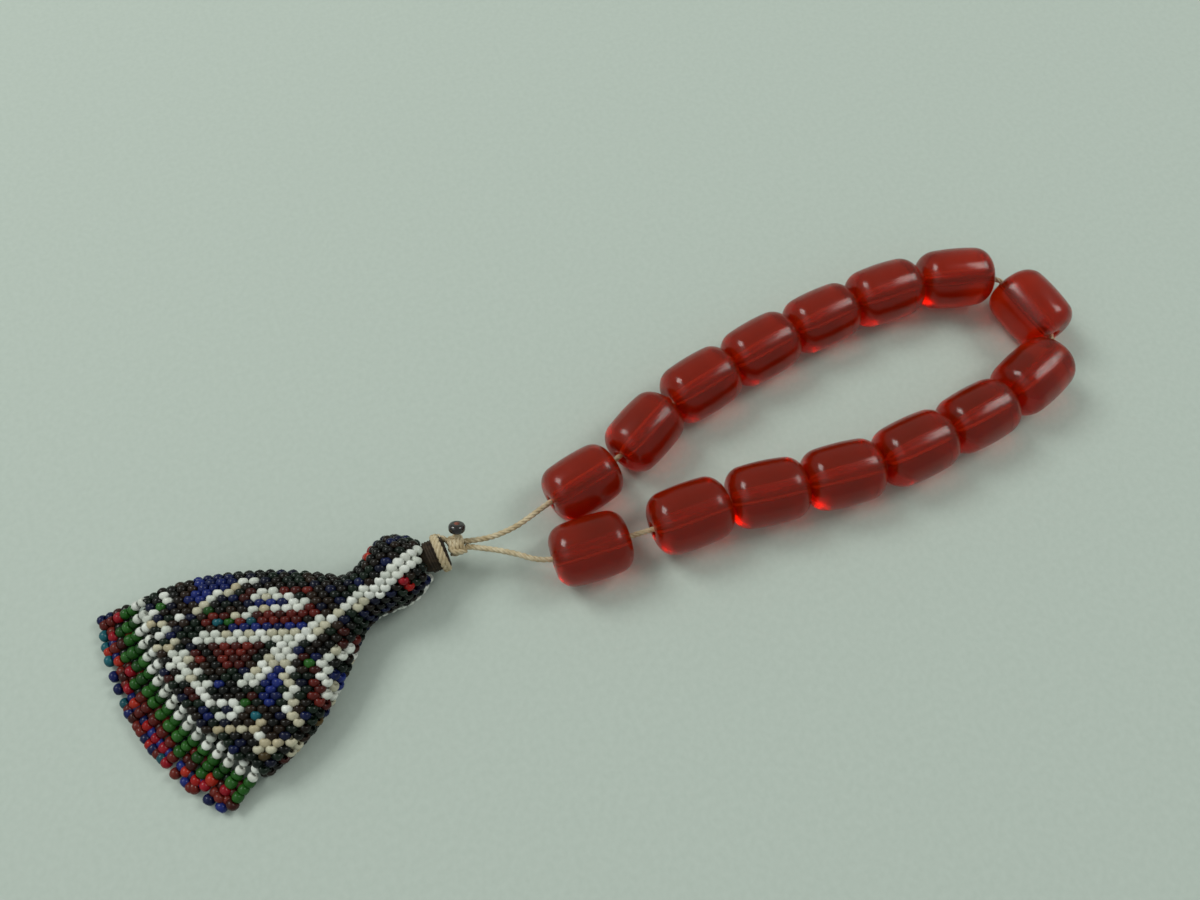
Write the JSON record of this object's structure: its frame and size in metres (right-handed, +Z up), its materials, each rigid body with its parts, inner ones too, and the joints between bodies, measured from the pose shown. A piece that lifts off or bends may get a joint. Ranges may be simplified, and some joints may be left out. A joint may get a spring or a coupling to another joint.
{
  "type": "misbaha prayer beads",
  "caption": "Short prayer bead string: barrel-shaped translucent red resin beads on a waxed cord loop, tied to a stuffed glass-beadwork tassel with a bead fringe.",
  "frame": {"origin": "under the middle of the bounding box of everything but the cord, on the surface that the object lies on", "axes": "+X from the fringe to the far end of the bead loop, +Z up from the surface that it lies on"},
  "size_m": [0.1931, 0.0476, 0.0124],
  "materials": {
    "cherry_resin": "polished translucent resin",
    "waxed_cord": "twisted waxed linen cord",
    "dark_glass": "black glass",
    "brown_thread": "wound thread",
    "seed_beadwork": "glass seed beads worked on dark thread",
    "fringe_beads": "glass seed beads on thread",
    "wool_core": "packed wool"
  },
  "bodies": {
    "string": {"string": "waxed_cord", "knot": "waxed_cord", "cord_tail": "waxed_cord", "stop_bead": "dark_glass"},
    "thread_cap": {"thread_cap": "brown_thread", "cord_wrap": "waxed_cord"},
    "tassel": {"head_beadwork": "seed_beadwork", "head_core": "wool_core", "front_beadwork": "seed_beadwork", "back_beadwork": "seed_beadwork", "hem_beadwork": "seed_beadwork", "tassel_stuffing": "wool_core"},
    "bead_01": {"bead_01": "cherry_resin"},
    "bead_02": {"bead_02": "cherry_resin"},
    "bead_03": {"bead_03": "cherry_resin"},
    "bead_04": {"bead_04": "cherry_resin"},
    "bead_05": {"bead_05": "cherry_resin"},
    "bead_06": {"bead_06": "cherry_resin"},
    "bead_07": {"bead_07": "cherry_resin"},
    "bead_08": {"bead_08": "cherry_resin"},
    "bead_09": {"bead_09": "cherry_resin"},
    "bead_10": {"bead_10": "cherry_resin"},
    "bead_11": {"bead_11": "cherry_resin"},
    "bead_12": {"bead_12": "cherry_resin"},
    "bead_13": {"bead_13": "cherry_resin"},
    "bead_14": {"bead_14": "cherry_resin"},
    "bead_15": {"bead_15": "cherry_resin"},
    "fringe_strand_01": {"fringe_strand_01": "fringe_beads"},
    "fringe_strand_02": {"fringe_strand_02": "fringe_beads"},
    "fringe_strand_03": {"fringe_strand_03": "fringe_beads"},
    "fringe_strand_04": {"fringe_strand_04": "fringe_beads"},
    "fringe_strand_05": {"fringe_strand_05": "fringe_beads"},
    "fringe_strand_06": {"fringe_strand_06": "fringe_beads"},
    "fringe_strand_07": {"fringe_strand_07": "fringe_beads"},
    "fringe_strand_08": {"fringe_strand_08": "fringe_beads"},
    "fringe_strand_09": {"fringe_strand_09": "fringe_beads"},
    "fringe_strand_10": {"fringe_strand_10": "fringe_beads"},
    "fringe_strand_11": {"fringe_strand_11": "fringe_beads"},
    "fringe_strand_12": {"fringe_strand_12": "fringe_beads"},
    "fringe_strand_13": {"fringe_strand_13": "fringe_beads"},
    "fringe_strand_14": {"fringe_strand_14": "fringe_beads"},
    "fringe_strand_15": {"fringe_strand_15": "fringe_beads"},
    "fringe_strand_16": {"fringe_strand_16": "fringe_beads"},
    "fringe_strand_17": {"fringe_strand_17": "fringe_beads"}
  },
  "joints": [
    {"name": "tassel_swing", "type": "hinge", "parent": "string", "child": "thread_cap", "pos_m": [-0.032, 0.0029, 0.0059], "axis": [0, 0, 1], "range_deg": [-30, 45]},
    {"name": "tassel_lift", "type": "hinge", "parent": "thread_cap", "child": "tassel", "pos_m": [-0.037, 0.0029, 0.0059], "axis": [0, 1, 0], "range_deg": [-20, 20]},
    {"name": "bead_01_spin", "type": "hinge", "parent": "string", "child": "bead_01", "pos_m": [-0.00676, 0.005, 0.0057], "axis": [0.9848, 0.1736, 0], "continuous": true},
    {"name": "bead_02_spin", "type": "hinge", "parent": "string", "child": "bead_02", "pos_m": [0.0081, 0.0097, 0.00582], "axis": [0.8988, 0.4384, 0], "continuous": true},
    {"name": "bead_03_spin", "type": "hinge", "parent": "string", "child": "bead_03", "pos_m": [0.02233, 0.01429, 0.006], "axis": [0.9848, 0.1736, 0], "continuous": true},
    {"name": "bead_04_spin", "type": "hinge", "parent": "string", "child": "bead_04", "pos_m": [0.03676, 0.01658, 0.006], "axis": [0.9903, 0.1392, 0], "continuous": true},
    {"name": "bead_05_spin", "type": "hinge", "parent": "string", "child": "bead_05", "pos_m": [0.05129, 0.01798, 0.00588], "axis": [0.9986, 0.0523, 0], "continuous": true},
    {"name": "bead_06_spin", "type": "hinge", "parent": "string", "child": "bead_06", "pos_m": [0.06593, 0.01798, 0.006], "axis": [0.9986, -0.0523, 0], "continuous": true},
    {"name": "bead_07_spin", "type": "hinge", "parent": "string", "child": "bead_07", "pos_m": [0.08081, 0.01522, 0.006], "axis": [0.9511, -0.309, 0], "continuous": true},
    {"name": "bead_08_spin", "type": "hinge", "parent": "string", "child": "bead_08", "pos_m": [0.0907, 0.00262, 0.00594], "axis": [0.0698, -0.9976, 0], "continuous": true},
    {"name": "bead_09_spin", "type": "hinge", "parent": "string", "child": "bead_09", "pos_m": [0.08161, -0.01053, 0.006], "axis": [-0.9563, -0.2924, 0], "continuous": true},
    {"name": "bead_10_spin", "type": "hinge", "parent": "string", "child": "bead_10", "pos_m": [0.06701, -0.01339, 0.00588], "axis": [-0.9962, -0.0872, 0], "continuous": true},
    {"name": "bead_11_spin", "type": "hinge", "parent": "string", "child": "bead_11", "pos_m": [0.05245, -0.01427, 0.00606], "axis": [-0.9994, -0.0349, 0], "continuous": true},
    {"name": "bead_12_spin", "type": "hinge", "parent": "string", "child": "bead_12", "pos_m": [0.03743, -0.01336, 0.006], "axis": [-0.9877, 0.1564, 0], "continuous": true},
    {"name": "bead_13_spin", "type": "hinge", "parent": "string", "child": "bead_13", "pos_m": [0.02304, -0.01082, 0.006], "axis": [-0.9816, 0.1908, 0], "continuous": true},
    {"name": "bead_14_spin", "type": "hinge", "parent": "string", "child": "bead_14", "pos_m": [0.00821, -0.00901, 0.00606], "axis": [-0.9986, 0.0523, 0], "continuous": true},
    {"name": "bead_15_slide", "type": "slide", "parent": "string", "child": "bead_15", "axis": [-0.9945, 0.1045, 0], "range_m": [-0.002, 0.0014]},
    {"name": "fringe_strand_01_swing", "type": "hinge", "parent": "tassel", "child": "fringe_strand_01", "pos_m": [-0.08829, 0.01646, 0.0025], "axis": [-0.0872, 0.9962, 0], "range_deg": [-35, 70]},
    {"name": "fringe_strand_02_swing", "type": "hinge", "parent": "tassel", "child": "fringe_strand_02", "pos_m": [-0.0885, 0.01402, 0.0025], "axis": [-0.1067, 0.9943, 0], "range_deg": [-35, 70]},
    {"name": "fringe_strand_03_swing", "type": "hinge", "parent": "tassel", "child": "fringe_strand_03", "pos_m": [-0.08859, 0.01157, 0.0025], "axis": [-0.1262, 0.992, 0], "range_deg": [-35, 70]},
    {"name": "fringe_strand_04_swing", "type": "hinge", "parent": "tassel", "child": "fringe_strand_04", "pos_m": [-0.08854, 0.00912, 0.0025], "axis": [-0.1457, 0.9893, 0], "range_deg": [-35, 70]},
    {"name": "fringe_strand_05_swing", "type": "hinge", "parent": "tassel", "child": "fringe_strand_05", "pos_m": [-0.08837, 0.00668, 0.0025], "axis": [-0.165, 0.9863, 0], "range_deg": [-35, 70]},
    {"name": "fringe_strand_06_swing", "type": "hinge", "parent": "tassel", "child": "fringe_strand_06", "pos_m": [-0.08808, 0.00425, 0.0025], "axis": [-0.1844, 0.9829, 0], "range_deg": [-35, 70]},
    {"name": "fringe_strand_07_swing", "type": "hinge", "parent": "tassel", "child": "fringe_strand_07", "pos_m": [-0.08766, 0.00183, 0.0025], "axis": [-0.2036, 0.979, 0], "range_deg": [-35, 70]},
    {"name": "fringe_strand_08_swing", "type": "hinge", "parent": "tassel", "child": "fringe_strand_08", "pos_m": [-0.08712, -0.00055, 0.0025], "axis": [-0.2228, 0.9749, 0], "range_deg": [-35, 70]},
    {"name": "fringe_strand_09_swing", "type": "hinge", "parent": "tassel", "child": "fringe_strand_09", "pos_m": [-0.08646, -0.00291, 0.0025], "axis": [-0.2419, 0.9703, 0], "range_deg": [-35, 70]},
    {"name": "fringe_strand_10_swing", "type": "hinge", "parent": "tassel", "child": "fringe_strand_10", "pos_m": [-0.08567, -0.00523, 0.0025], "axis": [-0.2609, 0.9654, 0], "range_deg": [-35, 70]},
    {"name": "fringe_strand_11_swing", "type": "hinge", "parent": "tassel", "child": "fringe_strand_11", "pos_m": [-0.08477, -0.00751, 0.0025], "axis": [-0.2798, 0.96, 0], "range_deg": [-35, 70]},
    {"name": "fringe_strand_12_swing", "type": "hinge", "parent": "tassel", "child": "fringe_strand_12", "pos_m": [-0.08375, -0.00973, 0.0025], "axis": [-0.2986, 0.9544, 0], "range_deg": [-35, 70]},
    {"name": "fringe_strand_13_swing", "type": "hinge", "parent": "tassel", "child": "fringe_strand_13", "pos_m": [-0.08262, -0.01191, 0.0025], "axis": [-0.3173, 0.9483, 0], "range_deg": [-35, 70]},
    {"name": "fringe_strand_14_swing", "type": "hinge", "parent": "tassel", "child": "fringe_strand_14", "pos_m": [-0.08138, -0.01402, 0.0025], "axis": [-0.3359, 0.9419, 0], "range_deg": [-35, 70]},
    {"name": "fringe_strand_15_swing", "type": "hinge", "parent": "tassel", "child": "fringe_strand_15", "pos_m": [-0.08003, -0.01606, 0.0025], "axis": [-0.3543, 0.9351, 0], "range_deg": [-35, 70]},
    {"name": "fringe_strand_16_swing", "type": "hinge", "parent": "tassel", "child": "fringe_strand_16", "pos_m": [-0.07858, -0.01803, 0.0025], "axis": [-0.3726, 0.928, 0], "range_deg": [-35, 70]},
    {"name": "fringe_strand_17_swing", "type": "hinge", "parent": "tassel", "child": "fringe_strand_17", "pos_m": [-0.07703, -0.01992, 0.0025], "axis": [-0.3907, 0.9205, 0], "range_deg": [-35, 70]}
  ]
}
